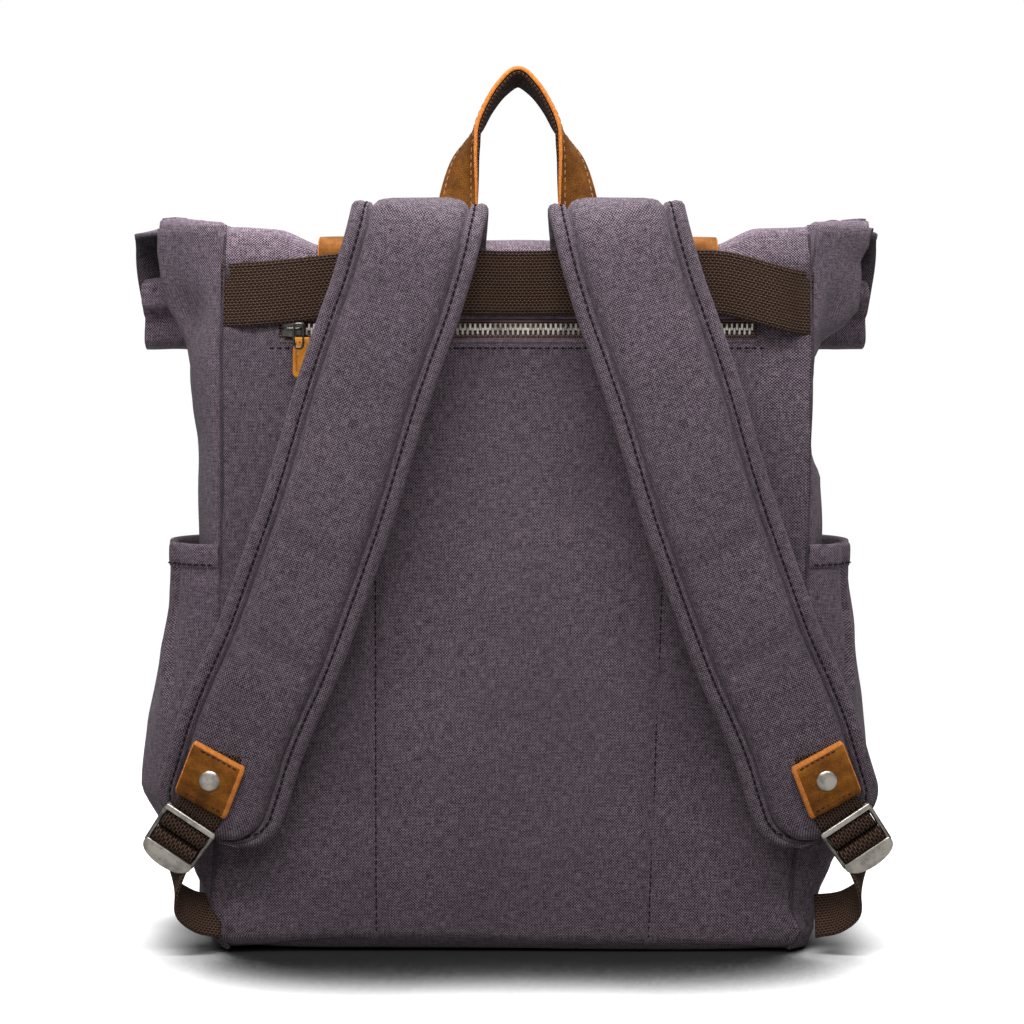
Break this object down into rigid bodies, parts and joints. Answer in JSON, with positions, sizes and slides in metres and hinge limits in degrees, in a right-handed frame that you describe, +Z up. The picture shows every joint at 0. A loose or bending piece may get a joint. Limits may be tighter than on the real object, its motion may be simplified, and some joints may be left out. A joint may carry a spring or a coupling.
{
  "type": "travel backpack",
  "caption": "Roll-top canvas backpack standing on its base, with padded shoulder straps, carry handle, rear zip pocket and side pockets.",
  "frame": {"origin": "centre of the base's underside, on the surface that the bag stands on", "axes": "+Z up, -Y out of the carrying side with the shoulder straps, +X to the right seen from that side"},
  "size_m": [0.444, 0.2049, 0.4932],
  "materials": {
    "canvas": "washed cotton duck, mauve grey, plain weave with a dusty wear bloom",
    "lining_cloth": "plain cotton lining",
    "foam": "closed-cell foam sheet",
    "board": "plain fibre board",
    "zip_tape": "woven zip tape",
    "webbing": "heavy ribbed cotton webbing, dark brown",
    "leather": "oiled tan leather with darker handling marks",
    "leather_edge": "raw orange cut edge",
    "thread": "waxed sewing thread",
    "zip_metal": "antique nickel teeth",
    "buckle_metal": "antique nickel, satin with darker recesses"
  },
  "bodies": {
    "root": {"base_panel": "canvas", "base_board": "board", "rear_panel_lower": "canvas", "rear_panel_upper": "canvas", "rear_pocket_lining": "lining_cloth", "back_foam": "foam", "zip_tape_lower": "zip_tape", "zip_tape_upper": "zip_tape", "zip_teeth_lower": "zip_metal", "zip_teeth_upper": "zip_metal", "front_panel": "canvas", "lining": "lining_cloth", "laptop_sleeve": "lining_cloth", "webbing_band": "webbing", "front_pocket": "canvas", "gusset_left": "canvas", "gusset_right": "canvas", "side_pocket_left": "canvas", "side_pocket_right": "canvas", "side_pocket_hem_left": "canvas", "side_pocket_hem_right": "canvas", "closure_anchor_left": "leather", "closure_anchor_right": "leather", "snap_socket_left": "buckle_metal", "snap_socket_right": "buckle_metal", "handle_foot_left": "leather", "handle_foot_right": "leather", "strap_root_left": "canvas", "strap_root_right": "canvas", "adjust_webbing_left": "webbing", "adjust_webbing_right": "webbing"},
    "zip_slider": {"zip_slider": "buckle_metal"},
    "zip_pull": {"zip_pull_ring": "buckle_metal", "zip_pull_tab": "leather"},
    "roll": {"roll_flap": "canvas", "roll_stiffener": "board"},
    "handle": {"handle_leather": "leather", "handle_lining": "webbing"},
    "closure_left": {"closure_strap_left": "leather", "closure_buckle_left": "buckle_metal", "snap_stud_left": "buckle_metal"},
    "shoulder_left": {"shoulder_strap_face_left": "canvas", "shoulder_strap_foam_left": "foam", "shoulder_strap_backing_left": "canvas", "strap_webbing_left": "webbing", "strap_patch_left": "leather", "strap_rivet_left": "buckle_metal"},
    "buckle_left": {"ladder_buckle_left": "buckle_metal"},
    "closure_right": {"closure_strap_right": "leather", "closure_buckle_right": "buckle_metal", "snap_stud_right": "buckle_metal"},
    "shoulder_right": {"shoulder_strap_face_right": "canvas", "shoulder_strap_foam_right": "foam", "shoulder_strap_backing_right": "canvas", "strap_webbing_right": "webbing", "strap_patch_right": "leather", "strap_rivet_right": "buckle_metal"},
    "buckle_right": {"ladder_buckle_right": "buckle_metal"}
  },
  "joints": [
    {"name": "back_zip_slide", "type": "slide", "parent": "root", "child": "zip_slider", "axis": [1, 0, 0], "range_m": [0, 0.246]},
    {"name": "zip_pull_swing", "type": "hinge", "parent": "zip_slider", "child": "zip_pull", "pos_m": [-0.123, -0.0728, 0.344], "axis": [-1, 0, 0], "range_deg": [0, 85]},
    {"name": "roll_top_lift", "type": "hinge", "parent": "root", "child": "roll", "pos_m": [0, -0.04, 0.405], "axis": [1, 0, 0], "range_deg": [0, 90]},
    {"name": "handle_tip", "type": "hinge", "parent": "root", "child": "handle", "pos_m": [0, -0.067, 0.4035], "axis": [1, 0, 0], "range_deg": [-60, 0]},
    {"name": "closure_left_lift", "type": "hinge", "parent": "roll", "child": "closure_left", "pos_m": [-0.09, -0.039, 0.406], "axis": [1, 0, 0], "range_deg": [0, 60]},
    {"name": "strap_left_swing", "type": "hinge", "parent": "root", "child": "shoulder_left", "pos_m": [-0.053, -0.075, 0.388], "axis": [-1, 0, 0], "range_deg": [0, 8], "deforming": ["adjust_webbing_left"]},
    {"name": "buckle_left_tilt", "type": "hinge", "parent": "shoulder_left", "child": "buckle_left", "pos_m": [-0.17555, -0.086, 0.07586], "axis": [-0.835, -0.0271, 0.5496], "range_deg": [0, 20], "deforming": ["adjust_webbing_left"]},
    {"name": "closure_right_lift", "type": "hinge", "parent": "roll", "child": "closure_right", "pos_m": [0.09, -0.039, 0.406], "axis": [1, 0, 0], "range_deg": [0, 60]},
    {"name": "strap_right_swing", "type": "hinge", "parent": "root", "child": "shoulder_right", "pos_m": [0.053, -0.075, 0.388], "axis": [-1, 0, 0], "range_deg": [0, 8], "deforming": ["adjust_webbing_right"]},
    {"name": "buckle_right_tilt", "type": "hinge", "parent": "shoulder_right", "child": "buckle_right", "pos_m": [0.17555, -0.086, 0.07586], "axis": [-0.835, 0.0271, -0.5496], "range_deg": [0, 20], "deforming": ["adjust_webbing_right"]}
  ]
}
